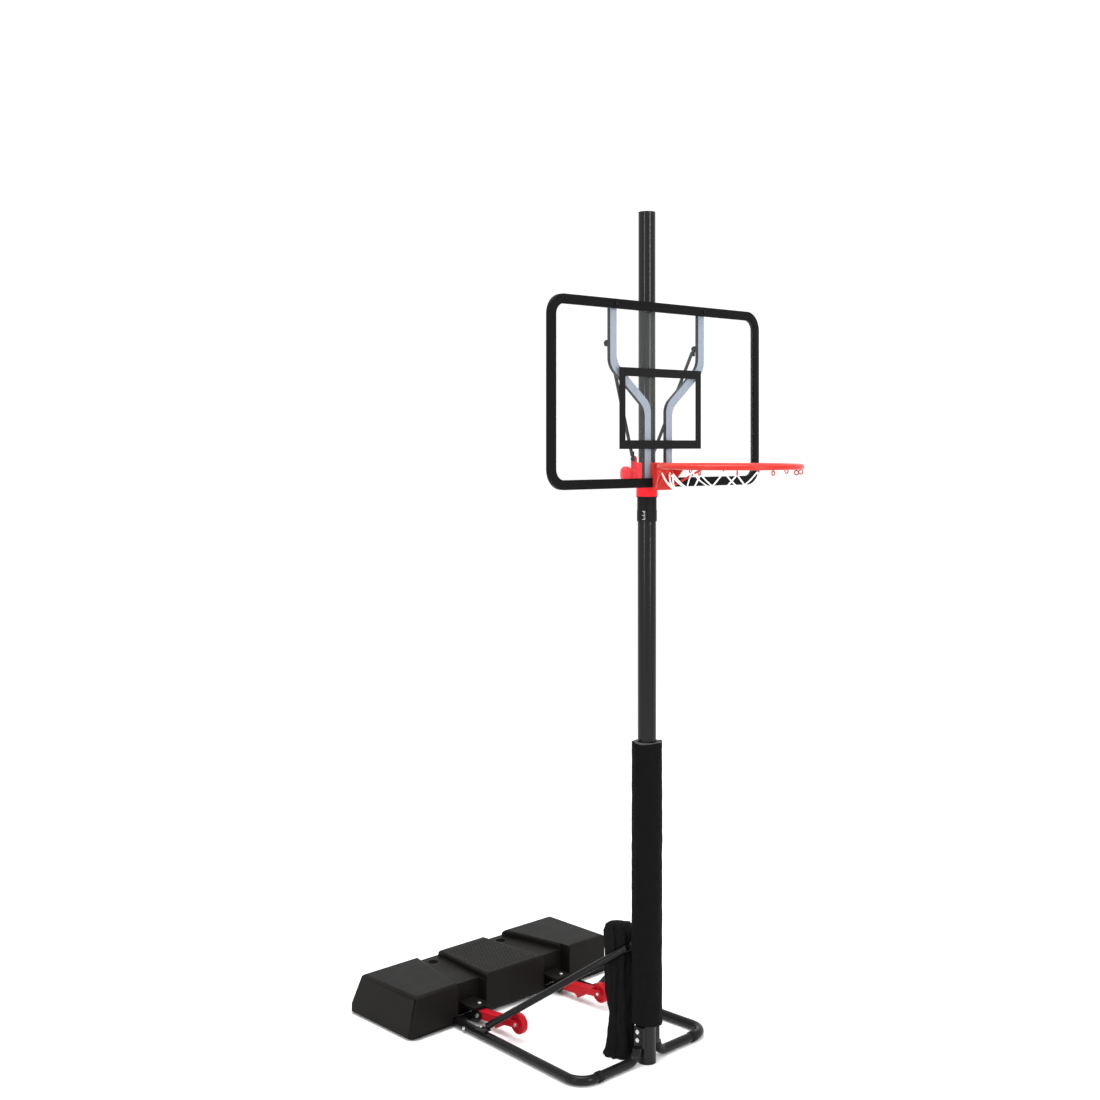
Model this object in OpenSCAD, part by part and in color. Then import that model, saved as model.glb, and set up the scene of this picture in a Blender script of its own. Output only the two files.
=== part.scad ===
// Portable basketball hoop: water-filled base, bolted tube frame, two-stage pole,
// sliding backboard carriage with a rim, and two wheels on hinged arms.
// Millimetres. +Z up, floor at z = 0, pole axis at x = y = 0, the rim points to -Y.

/* [Pole] */
// Outside diameter of the lower pole
lower_pole_d = 65; // [62:0.5:72]
// Wall of the lower pole
lower_pole_wall = 2.2; // [1.5:0.1:2.2]
// Outside diameter of the upper pole
upper_pole_d = 60; // [44:0.5:60]
// Wall of the upper pole
upper_pole_wall = 2; // [1:0.1:3]
// Height of the pole's top above the floor
pole_height = 2985; // [2850:5:3600]
// Height of the sleeve's top, on which the carriage rests
seat_z = 1983; // [1600:1:2200]
// Length of the upper pole inside the lower one
pole_overlap = 250; // [150:10:400]

/* [Pole sleeve and cap] */
// Height of the plastic sleeve on top of the lower pole
sleeve_h = 84; // [60:1:110]
// Height of the sleeve's wide lower band
sleeve_band_h = 39; // [20:1:50]
// Thickness of the wide band
sleeve_band_t = 2.6; // [1.8:0.1:5]
// Thickness of the sleeve above the band
sleeve_t = 1.6; // [1:0.1:1.7]
// Thickness of the plastic end caps
cap_t = 3; // [2:0.5:6]
// Depth of the end caps' spigots
cap_spigot = 22; // [10:1:40]

/* [Base frame] */
// Diameter of the base frame tube
tube_d = 33; // [26:0.5:35]
// Wall of the base frame tube
tube_wall = 1.8; // [1:0.1:3]
// Half width of the frame at its front corners
front_half = 326; // [300:1:420]
// Half width of the frame at its rear ends
rear_half = 291; // [285:1:297]
// Distance of the frame's rear ends behind the pole
side_len = 730; // [726:1:734]
// Bend radius of the front corners
corner_bend = 65; // [45:1:90]
// Bend radius where the front tubes turn up beside the pole
upturn_bend = 44; // [36:1:52]
// Thickness of the flattened tube end beside the pole
flat_t = 12; // [8:0.5:14]
// Width of the flattened tube end
flat_w = 40; // [30:1:44]
// Height of the flattened end's top
flat_top = 132; // [128:1:136]
// Thickness of the rubber rings that carry the front tubes
ring_t = 2.5; // [1.5:0.1:4]
// Length of a rubber ring
ring_len = 22; // [14:1:40]
// Distance of the rubber rings from the pole axis
ring_x = 240; // [180:1:246]
// Diameter of the cross tube under the tank's front
cross_d = 20; // [16:1:22]
// Distance of the cross tube behind the pole
cross_y = 712; // [708:1:716]
// Height of the cross tube's axis
cross_z = 14; // [12:0.5:16]

/* [Struts] */
// Diameter of the two struts
strut_d = 25; // [18:0.5:27]
// Height of the strut pin on the pole
strut_z = 402; // [360:1:520]
// Distance of the strut pin behind the pole axis
strut_pin_y = 48; // [46:0.5:52]
// Distance of the strut feet behind the pole
strut_foot_y = 544; // [530:1:590]
// Thickness of the struts' flattened ends
strut_flat_t = 8; // [5:0.5:9]

/* [Tank] */
// Height of the tank
tank_h = 158; // [145:1:200]
// Half width of the tank's top
tank_top_half = 490; // [440:1:600]
// Half width of the tank's foot
tank_foot_half = 511; // [470:1:620]
// Front of the tank behind the pole
tank_front = 688; // [684:1:690]
// Rear of the tank's top behind the pole
tank_rear_top = 1017; // [980:1:1120]
// Rear of the tank's foot behind the pole
tank_rear_foot = 1080; // [1040:1:1200]
// Depth of the two channels in the tank's top
channel_depth = 23; // [15:1:30]
// Set-back of the tank's front inside the channels
channel_setback = 47; // [44:1:52]
// Half width of the middle block at the front
middle_front = 147; // [130:1:155]
// Half width of the middle block at the rear
middle_rear = 115; // [100:1:130]
// Inner edge of the outer blocks at the front
outer_front = 291; // [280:1:300]
// Inner edge of the outer blocks at the rear
outer_rear = 224; // [210:1:240]
// Chamfer along the tank's edges
tank_chamfer = 9; // [4:1:12]

/* [Filler caps] */
// Distance of the fillers from the middle
filler_x = 176; // [170:1:182]
// Distance of the fillers behind the pole
filler_y = 978; // [940:1:985]
// Diameter of a filler cap
filler_d = 38; // [30:1:44]
// Diameter of the cap's plug
filler_plug_d = 27; // [18:1:28]
// Depth of the recess that takes the cap
filler_recess = 8; // [5:0.5:12]

/* [Wheel arms] */
// Distance of the wheels from the middle
wheel_x = 212; // [208:1:216]
// Diameter of a wheel
wheel_d = 74; // [60:1:84]
// Width of a wheel
wheel_w = 24; // [16:1:25]
// Distance of the wheel axle behind the pole
wheel_y = 435; // [425:1:460]
// Height of the wheel axle
wheel_z = 64; // [58:1:68]
// Distance of the arm hinge behind the pole
arm_y = 640; // [632:1:646]
// Height of the arm hinge
arm_z = 40; // [36:1:44]
// Overall width of an arm
arm_w = 36; // [34:0.5:40]

/* [Pole pad and bag] */
// Outside diameter of the covered pad
pad_d = 106; // [92:1:120]
// Height of the pad's lower edge
pad_bottom = 138; // [132:1:180]
// Height of the pad's upper edge
pad_top = 1129; // [900:1:1400]
// Thickness of the fabric cover
cover_t = 2.7; // [1:0.1:4]
// Height of the fabric bag that stands between the struts
bag_h = 462; // [420:1:520]
// Radius of the bag at its fullest
bag_r = 40; // [34:1:44]

/* [Backboard] */
// Width of the backboard
board_w = 1078; // [900:1:1200]
// Height of the backboard
board_h = 640; // [600:1:900]
// Radius of the backboard's corners
board_corner = 68; // [40:1:120]
// Width of the black edge frame
edge_w = 32; // [30:1:44]
// Depth of the black edge frame
edge_depth = 15; // [12:0.5:16]
// Thickness of the clear sheet
sheet_t = 4; // [3:0.5:6]
// Thickness of the edge frame's front lip
lip_t = 3; // [2:0.5:4]
// Outside width of the target square
target_w = 421; // [380:1:600]
// Outside height of the target square
target_h = 278; // [240:1:320]
// Width of the target square's line
target_line = 30; // [20:1:50]
// Height of the target square above the backboard's lower edge
target_z = 133; // [120:1:160]

/* [Carriage] */
// Distance of the backboard's face in front of the pole axis
face_y = 71; // [70:0.5:76]
// Height of the collar under the housing
collar_h = 38; // [30:1:38]
// Outside radius of the collar
collar_r = 37.5; // [35:0.5:44]
// Height of the housing above the collar
housing_h = 84; // [80:1:92]
// Half width of the housing
housing_half = 46; // [43:0.5:50]
// Rear of the housing behind the pole axis
housing_rear = 34; // [33:0.5:40]
// Running clearance between the carriage and the pole
slide_gap = 0.1; // [0.01:0.01:0.1]
// Angle of the lock knob round the pole
lock_angle = 150; // [145:1:155]
// Radius of the lock knob
knob_r = 27; // [18:0.5:28]
// Length of the lock knob
knob_len = 36; // [24:1:50]
// Radius of the lock pin
pin_r = 5; // [3:0.5:7]

/* [Support tubes and braces] */
// Width of a support tube
support_w = 30; // [24:1:32]
// Distance of the support tubes' lower ends from the middle
support_low_x = 55; // [54:0.5:60]
// Distance of the support tubes' upper ends from the middle
support_high_x = 226; // [180:1:300]
// Depth of a support tube
support_depth = 15; // [14:0.5:24]
// Height of the lower bend above the seat
bend_low = 317; // [260:1:340]
// Height of the upper bend above the seat
bend_high = 457; // [420:1:490]
// Height of the brace pins on the support tubes above the seat
brace_top = 529; // [510:1:560]
// Diameter of the brace rods
brace_d = 12; // [8:0.5:14]

/* [Rim] */
// Inside diameter of the rim
rim_inside_d = 450; // [380:1:460]
// Diameter of the rim's rod
rim_rod_d = 18; // [14:0.5:22]
// Distance from the backboard's face to the nearest edge of the rim's opening
rim_reach = 79.5; // [70:0.5:150]
// Height of the rim's axis plane above the seat
rim_z = 112.5; // [108:0.5:120]
// Half width of the rim bracket
bracket_half = 47; // [42:1:60]
// Thickness of the rim bracket's plates
bracket_t = 5; // [3:0.5:8]
// Radius of a net hook's eye
hook_eye = 7; // [5:0.5:10]
// Thickness of a net hook's wire
hook_wire = 4; // [2:0.5:5]
// Length of the net
net_len = 308; // [260:1:420]
// Outside radius of the net's lower end
net_low_r = 88; // [75:1:120]

/* [Hidden] */
$fn = 64;
// far enough past a wall for a clean cut
past = 1;
// gap between seated pieces and clearance of fixed bores
seat_gap = 0.3;
bore_gap = 0.1;
lower_r = lower_pole_d / 2;
upper_r = upper_pole_d / 2;
tube_r = tube_d / 2;
cross_r = cross_d / 2;
strut_r = strut_d / 2;
tube_z = tube_r + ring_t;
// bolts: shank and head radii and head heights of the three sizes
bolt_r = 5;
small_bolt_r = 4;
pin_bolt_r = 3.5;
head_ratio = 1.75;
head_h = 6;
nut_h = 8;
tail = 8;
// frame corners
// rounded, so that the bend and the straight tubes meet on the same numbers
splay = round(100 * atan((front_half - rear_half) / side_len)) / 100;
corner_turn = 90 + splay;
corner_t = corner_bend * tan(corner_turn / 2);
corner_x = round(100 * (front_half - corner_t)) / 100;
side_x0 = corner_x + corner_bend * cos(splay);
side_y0 = corner_bend + corner_bend * sin(splay);
side_l = (side_len - side_y0) / cos(splay);
function side_x(y) = side_x0 - (y - side_y0) * tan(splay);
// the front tubes turn up with their inner side on the pole
upturn_x = lower_r + seat_gap + tube_r;
flat_x = lower_r - 8;
flat_z = tube_z + upturn_bend;
foot_bolt_zs = [88, 117];
// cross tube and side bolts
cross_top = cross_z + cross_r;
cross_half = side_x(cross_y + cross_r) - tube_r / cos(splay) - seat_gap;
side_bolt_y = 624;
side_bolt_len = 40;
// struts
strut_lug_half = 14;
strut_eye_r = 14;
strut_foot_x = side_x(strut_foot_y);
strut_foot_h = 6;
strut_foot_w = 30;
strut_foot_l = 52;
strut_foot_top = tube_z + tube_r + strut_foot_h;
strut_top = [strut_lug_half + 15, strut_pin_y + 22, strut_z - 14];
strut_end = [strut_foot_x - 7, strut_foot_y - 24, strut_foot_top + 8.5];
// tank
setback_inset = 4;
tank_foot_gap = cross_top + seat_gap;
notch_gap = 3;
function edge_x(front, rear, y) =
    front + (rear - front) * (y - tank_front) / (tank_rear_top - tank_front);
filler_depth = 26;
// wheel arms
cheek_t = 4;
lug_t = 5;
arm_eye_r = 14;
arm_lug_z = cross_z - 8;
arm_side_gap = 0.3;
axle_r = 4;
peg_y = 545;
peg_z = 25;
peg_r = 7;
// the strap over each arm's hinge, and the tank's lug that is bolted on it
strap_t = 4;
strap_half = 14;
strap_z = arm_z + arm_eye_r + 1;
tank_bolt_y = arm_y + arm_eye_r + 3;
tank_bolt_x = wheel_x;
tank_lug_t = 12;
tank_lug_half = 40;
tank_lug_z = strap_z + strap_t + seat_gap;
tank_lug_front = tank_bolt_y - 15;
// pad
foam_gap = 0.3;
foam_r = pad_d / 2 - cover_t - foam_gap;
pad_window_w = 70;
pad_window_z = [strut_z - 32, strut_z + 28];
// the bag leans back from its place on the floor
bag_low = [-33, 111];
bag_high = [-10, 145];
strut_slit = 0.5;
// carriage
board_z = seat_z + 37;
face = -face_y;
sheet_y = face + lip_t;
edge_back = face + edge_depth;
slot_gap = 0.1;
edge_wall = 2;
support_back = edge_back + support_depth;
flange_t = 6;
housing_z = seat_z + collar_h;
housing_top = housing_z + housing_h;
boss_half = support_low_x - support_w / 2 - seat_gap;
rim_bolt_x = 29;
rim_bolt_zs = [board_z + edge_w / 2, housing_top - 14];
rim_bolt_end = edge_back + 11;
support_bolt_zs = [housing_z + 18, housing_z + 62];
support_low_z = board_z + 14;
support_high_z = board_z + board_h - 6;
top_bolt_z = board_z + board_h - edge_w / 2;
// braces
ear_t = 8;
ear_y = 30;
ear_r = 11;
ear_z = housing_top + 13;
lug_r = 11;
brace_flat_t = 4;
brace_lug_half = 6;
brace_y = support_back + 15;
brace_z = seat_z + brace_top;
brace_high = [support_high_x - brace_lug_half - brace_flat_t / 2, brace_y, brace_z];
brace_low = [housing_half + brace_flat_t / 2, ear_y, ear_z];
brace_dir = (brace_low - brace_high) / norm(brace_low - brace_high);
brace_inset = 12;
// lock
lock_z = housing_z + 44;
lock_boss_r = 17;
lock_boss_end = 58;
pin_tip = upper_r + 1.2;
// rim
rod_r = rim_rod_d / 2;
rim_r = rim_inside_d / 2 + rod_r;
rim_y = face - rim_reach - rim_inside_d / 2;
rim_h = seat_z + rim_z;
bracket_face = face - bracket_t;
bracket_low = board_z - 10;
gusset_x = 38;
gusset_t = 4;
shelf_y = rim_y + rim_r + 1;
rim_brace_r = 4;
rim_brace_x = 125;
rim_brace_y = rim_y + sqrt(rim_r * rim_r - rim_brace_x * rim_brace_x);
hook_count = 12;
wire_r = hook_wire / 2;
hook_z = rim_h - rod_r - hook_eye - wire_r - bore_gap;
net_top = hook_z - hook_eye - wire_r - seat_gap;
net_wall = 2.5;
net_top_r = rim_r - 2;

// ---- shared shapes ----

// a round bar between two points
module bar(a, b, r) {
    d = b - a;
    translate(a)
        rotate([0, acos(d[2] / norm(d)), atan2(d[1], d[0])])
            cylinder(h = norm(d), r = r);
}

// a cylinder along +X from x0 to x1 at the given y and z
module along_x(x0, x1, y, z, r) {
    translate([x0, y, z])
        rotate([0, 90, 0])
            cylinder(h = x1 - x0, r = r);
}

// a cylinder along +Y from y0 to y1 at the given x and z
module along_y(y0, y1, x, z, r) {
    translate([x, y0, z])
        rotate([-90, 0, 0])
            cylinder(h = y1 - y0, r = r);
}

// a hexagon bar along +X
module hex_x(x0, x1, y, z, r) {
    translate([x0, y, z])
        rotate([90, 0, 90])
            linear_extrude(x1 - x0)
                circle(r = r, $fn = 6);
}

// a hexagon bar along +Y
module hex_y(y0, y1, x, z, r) {
    translate([x, y1, z])
        rotate([90, 0, 0])
            linear_extrude(y1 - y0)
                circle(r = r, $fn = 6);
}

// an upright hexagon bar
module hex_z(x, y, z0, z1, r) {
    translate([x, y, z0])
        linear_extrude(z1 - z0)
            circle(r = r, $fn = 6);
}

// the same piece on the other side of the middle
module other_side() {
    mirror([1, 0, 0])
        children();
}

// both sides of the middle
module both_sides() {
    children();
    mirror([1, 0, 0])
        children();
}

// a profile in the side view (y, z), pushed along X from x0 to x1
module side_plate(x0, x1) {
    translate([x0, 0, 0])
        rotate([90, 0, 90])
            linear_extrude(x1 - x0)
                children();
}

// a profile in the front view (x, z), pushed along Y from y0 to y1
module front_plate(y0, y1) {
    translate([0, y1, 0])
        rotate([90, 0, 0])
            linear_extrude(y1 - y0)
                children();
}

// ---- tank ----

module tank_side() {
    c = tank_chamfer;
    slope = (tank_rear_foot - tank_rear_top) / tank_h;
    polygon([
        [tank_front + c, 0],
        [tank_front, c],
        [tank_front, tank_h - c],
        [tank_front + c, tank_h],
        [tank_rear_top - c, tank_h],
        [tank_rear_top + c * slope, tank_h - c],
        [tank_rear_foot - c * slope, c],
        [tank_rear_foot - 2 * c, 0]
    ]);
}

module tank_face() {
    c = tank_chamfer;
    slope = (tank_foot_half - tank_top_half) / tank_h;
    polygon([
        [-tank_foot_half + 2 * c, 0],
        [-tank_foot_half + c * slope, c],
        [-tank_top_half - c * slope, tank_h - c],
        [-tank_top_half + c, tank_h],
        [tank_top_half - c, tank_h],
        [tank_top_half + c * slope, tank_h - c],
        [tank_foot_half - c * slope, c],
        [tank_foot_half - 2 * c, 0]
    ]);
}

module tank_plan() {
    c = 2.6 * tank_chamfer;
    polygon([
        [-tank_foot_half + c, tank_front],
        [-tank_foot_half, tank_front + c],
        [-tank_foot_half, tank_rear_foot - c],
        [-tank_foot_half + c, tank_rear_foot],
        [tank_foot_half - c, tank_rear_foot],
        [tank_foot_half, tank_rear_foot - c],
        [tank_foot_half, tank_front + c],
        [tank_foot_half - c, tank_front]
    ]);
}

// plan of one channel between the middle block and an outer block
module channel_plan(y0, y1) {
    polygon([
        [edge_x(middle_front, middle_rear, y0), y0],
        [edge_x(outer_front, outer_rear, y0), y0],
        [edge_x(outer_front, outer_rear, y1), y1],
        [edge_x(middle_front, middle_rear, y1), y1]
    ]);
}

module tank() {
    foot_cut = [2 * outer_front, channel_setback + 2 * cross_r, tank_foot_gap];
    lug_len = tank_front + channel_setback + 6 - tank_lug_front;
    color("#1b1b1d")
        difference() {
            union() {
                difference() {
                    intersection() {
                        side_plate(-tank_foot_half, tank_foot_half)
                            tank_side();
                        front_plate(tank_front, tank_rear_foot)
                            tank_face();
                        linear_extrude(tank_h)
                            tank_plan();
                    }
                    both_sides()
                        translate([0, 0, tank_h - channel_depth])
                            linear_extrude(channel_depth + past)
                                channel_plan(tank_front - past, tank_rear_foot + past);
                    both_sides()
                        translate([middle_front + setback_inset, tank_front - past, -past])
                            cube([
                                outer_front - middle_front - 2 * setback_inset,
                                channel_setback + past,
                                tank_h + 2 * past
                            ]);
                    translate([-outer_front, tank_front - past, -past])
                        cube(foot_cut + [0, 0, past]);
                }
                both_sides()
                    translate([tank_bolt_x - tank_lug_half, tank_lug_front, tank_lug_z])
                        cube([2 * tank_lug_half, lug_len, tank_lug_t]);
            }
            both_sides() {
                translate([side_x(side_len) - tube_r - notch_gap, tank_front - past, -past])
                    cube([
                        tube_d + 2 * notch_gap + 2,
                        side_len - tank_front + 2 * cap_t + 4,
                        tube_z + tube_r + notch_gap + past
                    ]);
                translate([tank_bolt_x, tank_bolt_y, tank_lug_z - past])
                    cylinder(h = tank_lug_t + 2 * past, r = small_bolt_r + bore_gap);
                translate([filler_x, filler_y, tank_h - channel_depth - filler_recess])
                    cylinder(h = filler_recess + past, r = filler_d / 2 + seat_gap);
                translate([filler_x, filler_y, tank_h - channel_depth - filler_depth])
                    cylinder(h = filler_depth + past, r = filler_plug_d / 2 + bore_gap);
            }
        }
}

module tank_bolts() {
    head_z = tank_lug_z + tank_lug_t;
    color("#c9ccd0")
        both_sides() {
            translate([tank_bolt_x, tank_bolt_y, strap_z - strap_t])
                cylinder(h = head_z - strap_z + strap_t, r = small_bolt_r);
            hex_z(tank_bolt_x, tank_bolt_y, head_z, head_z + nut_h, small_bolt_r * head_ratio);
        }
}

module filler_cap() {
    floor_z = tank_h - channel_depth;
    grip = [filler_d - 12, 5, 5];
    color("#141416") {
        translate([filler_x, filler_y, floor_z - filler_recess])
            cylinder(h = filler_recess - 3, r = filler_d / 2);
        translate([filler_x, filler_y, floor_z - filler_depth + 4])
            cylinder(h = filler_depth - filler_recess, r = filler_plug_d / 2);
        translate([filler_x, filler_y, floor_z - grip[2] / 2 - 0.5])
            cube(grip, center = true);
    }
}

module filler_cap_right() {
    filler_cap();
}

module filler_cap_left() {
    other_side()
        filler_cap();
}

// ---- base frame ----

// the bent path of a front tube at radius r: upturn, front run and corner
module front_path(r, turn_start) {
    translate([upturn_x + upturn_bend, 0, tube_z + upturn_bend])
        rotate([90, 0, 0])
            rotate([0, 0, turn_start])
                rotate_extrude(angle = 270 - turn_start)
                    translate([upturn_bend, 0])
                        circle(r = r);
    along_x(upturn_x + upturn_bend, corner_x, 0, tube_z, r);
    translate([corner_x, corner_bend, tube_z])
        rotate([0, 0, -90])
            rotate_extrude(angle = corner_turn)
                translate([corner_bend, 0])
                    circle(r = r);
}

module frame_front() {
    flat_outer = lower_r + flat_t;
    color("#1d1d1f")
        difference() {
            union() {
                front_path(tube_r, 180);
                translate([flat_x, -flat_w / 2, flat_z - past])
                    cube([flat_outer - flat_x, flat_w, flat_top - flat_z + past]);
            }
            front_path(tube_r - tube_wall, 195);
            translate([0, 0, -past])
                cylinder(h = flat_top + 2 * past, r = lower_r + bore_gap / 2);
            for (z = foot_bolt_zs)
                along_x(0, flat_outer + past, 0, z, bolt_r + bore_gap);
        }
}

module frame_front_right() {
    frame_front();
}

module frame_front_left() {
    other_side()
        frame_front();
}

// the straight side tube, from the corner back to the tank
module frame_side() {
    color("#1d1d1f")
        difference() {
            translate([side_x0, side_y0, tube_z])
                rotate([-90, 0, splay])
                    difference() {
                        cylinder(h = side_l, r = tube_r);
                        translate([0, 0, -past])
                            cylinder(h = side_l + 2 * past, r = tube_r - tube_wall);
                    }
            translate([strut_foot_x, strut_foot_y, 0])
                cylinder(h = tube_z + tube_r + past, r = small_bolt_r + bore_gap);
            along_x(side_x(side_bolt_y) - tube_d, side_x(side_bolt_y) + tube_d,
                side_bolt_y, tube_z, small_bolt_r + bore_gap);
        }
}

module frame_side_right() {
    frame_side();
}

module frame_side_left() {
    other_side()
        frame_side();
}

module frame_rings() {
    color("#0e0e0f")
        both_sides()
            difference() {
                along_x(ring_x - ring_len / 2, ring_x + ring_len / 2, 0, tube_z, tube_r + ring_t);
                along_x(ring_x - ring_len, ring_x + ring_len, 0, tube_z, tube_r + bore_gap / 2);
            }
}

module frame_end_caps() {
    color("#0e0e0f")
        both_sides()
            translate([side_x(side_len), side_len, tube_z])
                rotate([-90, 0, splay]) {
                    cylinder(h = cap_t, r = tube_r);
                    translate([0, 0, -cap_spigot])
                        cylinder(h = cap_spigot, r = tube_r - tube_wall - bore_gap);
                }
}

module cross_tube() {
    color("#1d1d1f")
        along_x(-cross_half, cross_half, cross_y, cross_z, cross_r);
}

module frame_side_bolts() {
    x = side_x(side_bolt_y);
    outer = x + tube_r + 2 * seat_gap;
    color("#c9ccd0")
        both_sides() {
            along_x(outer - side_bolt_len, outer, side_bolt_y, tube_z, small_bolt_r);
            hex_x(outer, outer + head_h, side_bolt_y, tube_z, small_bolt_r * head_ratio);
        }
}

// ---- pole ----

module lower_pole() {
    top = seat_z - sleeve_h + sleeve_band_h + 20;
    color("#1d1d1f")
        difference() {
            translate([0, 0, cap_t])
                cylinder(h = top - cap_t, r = lower_r);
            cylinder(h = top + past, r = lower_r - lower_pole_wall);
            for (z = foot_bolt_zs)
                along_x(-lower_r - past, lower_r + past, 0, z, bolt_r + bore_gap);
        }
}

module upper_pole() {
    low = seat_z - pole_overlap;
    color("#232325")
        difference() {
            translate([0, 0, low])
                cylinder(h = pole_height - cap_t - low, r = upper_r);
            translate([0, 0, low - past])
                cylinder(h = pole_height - low + 2 * past, r = upper_r - upper_pole_wall);
        }
}

// the sleeve slips over the lower pole and closes round the upper one
module pole_sleeve() {
    low = seat_z - sleeve_h;
    band_top = low + sleeve_band_h;
    pole_end = band_top + 20;
    color("#161617")
        difference() {
            union() {
                translate([0, 0, low])
                    cylinder(h = sleeve_band_h, r = lower_r + sleeve_band_t);
                translate([0, 0, band_top])
                    cylinder(h = sleeve_h - sleeve_band_h, r = lower_r + sleeve_t);
            }
            translate([0, 0, low - past])
                cylinder(h = pole_end - low + past + seat_gap, r = lower_r + bore_gap);
            translate([0, 0, low])
                cylinder(h = sleeve_h + past, r = upper_r + bore_gap);
        }
}

module pole_top_cap() {
    color("#111112") {
        translate([0, 0, pole_height - cap_t])
            cylinder(h = cap_t, r = upper_r);
        translate([0, 0, pole_height - cap_t - cap_spigot])
            cylinder(h = cap_spigot, r = upper_r - upper_pole_wall - bore_gap);
    }
}

module pole_foot_cap() {
    color("#111112") {
        cylinder(h = cap_t, r = lower_r);
        translate([0, 0, cap_t])
            cylinder(h = cap_spigot, r = lower_r - lower_pole_wall - bore_gap);
    }
}

// two long bolts through both flattened tube ends and the pole
module foot_bolts() {
    outer = lower_r + flat_t;
    color("#c9ccd0")
        for (z = foot_bolt_zs) {
            along_x(-outer, outer + nut_h + tail, 0, z, bolt_r);
            hex_x(-outer - head_h, -outer, 0, z, bolt_r * head_ratio);
        }
}

module foot_nuts() {
    outer = lower_r + flat_t;
    color("#c9ccd0")
        for (z = foot_bolt_zs)
            difference() {
                hex_x(outer, outer + nut_h, 0, z, bolt_r * head_ratio);
                along_x(outer - past, outer + nut_h + past, 0, z, bolt_r + bore_gap / 2);
            }
}

// ---- struts ----

module strut_bracket() {
    depth = strut_pin_y + strut_eye_r;
    color("#1d1d1f")
        difference() {
            translate([-strut_lug_half, 0, strut_z - strut_eye_r])
                cube([2 * strut_lug_half, depth, 2 * strut_eye_r]);
            translate([0, 0, strut_z - 2 * strut_eye_r])
                cylinder(h = 4 * strut_eye_r, r = lower_r + bore_gap / 2);
            along_x(-lower_r, lower_r, strut_pin_y, strut_z, bolt_r + bore_gap);
        }
}

module strut() {
    x0 = strut_lug_half + seat_gap;
    x1 = x0 + strut_flat_t;
    color("#1d1d1f")
        difference() {
            union() {
                along_x(x0, x1, strut_pin_y, strut_z, strut_eye_r);
                side_plate(x0, x1)
                    polygon([
                        [strut_pin_y - 3, strut_z + strut_eye_r - 1],
                        [strut_pin_y + 38, strut_z - 12],
                        [strut_pin_y + 30, strut_z - 34],
                        [strut_pin_y - 8, strut_z - strut_eye_r + 3]
                    ]);
                bar(strut_top, strut_end, strut_r);
                translate([
                    strut_foot_x - strut_foot_w / 2,
                    strut_foot_y - strut_foot_l + 16,
                    strut_foot_top - strut_foot_h
                ])
                    cube([strut_foot_w, strut_foot_l, strut_foot_h]);
            }
            along_x(0, x1 + past, strut_pin_y, strut_z, bolt_r + bore_gap);
            translate([strut_foot_x, strut_foot_y, 0])
                cylinder(h = strut_foot_top + past, r = small_bolt_r + bore_gap);
            translate([strut_foot_x, strut_foot_y, strut_foot_top])
                cylinder(h = 4 * strut_r, r = small_bolt_r * head_ratio + past);
        }
}

module strut_right() {
    strut();
}

module strut_left() {
    other_side()
        strut();
}

module strut_pin() {
    outer = strut_lug_half + seat_gap + strut_flat_t;
    color("#c9ccd0") {
        along_x(-outer, outer, strut_pin_y, strut_z, bolt_r);
        hex_x(-outer - head_h, -outer, strut_pin_y, strut_z, bolt_r * head_ratio);
        hex_x(outer, outer + nut_h, strut_pin_y, strut_z, bolt_r * head_ratio);
    }
}

module strut_foot_bolts() {
    color("#c9ccd0")
        both_sides() {
            translate([strut_foot_x, strut_foot_y, ring_t + 4])
                cylinder(h = strut_foot_top - ring_t - 4, r = small_bolt_r);
            hex_z(strut_foot_x, strut_foot_y, strut_foot_top, strut_foot_top + head_h,
                small_bolt_r * head_ratio);
        }
}

// ---- wheel arms ----

// the arm's side view: an eye at the hinge, a bar and a lobe for the peg
module arm_side(front_y) {
    rise = (wheel_z - arm_z) / (arm_y - wheel_y);
    top = arm_z + rise * (arm_y - front_y);
    polygon([
        [front_y, top - 13],
        [front_y, top + 13],
        [arm_y, arm_z + arm_eye_r],
        [arm_y, arm_z - arm_eye_r],
        [peg_y + 18, arm_z - 10],
        [peg_y + peg_r, peg_z],
        [peg_y - peg_r, peg_z],
        [peg_y - 18, arm_z]
    ]);
    translate([arm_y, arm_z])
        circle(r = arm_eye_r);
    translate([peg_y, peg_z])
        circle(r = peg_r);
}

module cheek_side() {
    rise = (wheel_z - arm_z) / (arm_y - wheel_y);
    back_y = wheel_y + wheel_d / 2 + 12;
    back = arm_z + rise * (arm_y - back_y);
    polygon([
        [wheel_y, wheel_z - 13],
        [wheel_y, wheel_z + 13],
        [back_y, back + 13],
        [back_y, back - 13]
    ]);
    translate([wheel_y, wheel_z])
        circle(r = 13);
}

module arm() {
    half = arm_w / 2;
    front_y = wheel_y + wheel_d / 2 + 6;
    color("#c8141e")
        difference() {
            union() {
                side_plate(wheel_x - half, wheel_x + half)
                    arm_side(front_y);
                side_plate(wheel_x - half, wheel_x - half + cheek_t)
                    cheek_side();
                side_plate(wheel_x + half - cheek_t, wheel_x + half)
                    cheek_side();
            }
            along_x(wheel_x - arm_w, wheel_x + arm_w, arm_y, arm_z, bolt_r + bore_gap);
            along_x(wheel_x - arm_w, wheel_x + arm_w, wheel_y, wheel_z, axle_r + bore_gap);
        }
}

module arm_right() {
    arm();
}

module arm_left() {
    other_side()
        arm();
}

module axle() {
    outer = arm_w / 2;
    color("#c9ccd0") {
        along_x(wheel_x - outer, wheel_x + outer, wheel_y, wheel_z, axle_r);
        hex_x(wheel_x - outer - 4, wheel_x - outer, wheel_y, wheel_z, axle_r * head_ratio);
        hex_x(wheel_x + outer, wheel_x + outer + 4, wheel_y, wheel_z, axle_r * head_ratio);
    }
}

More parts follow.
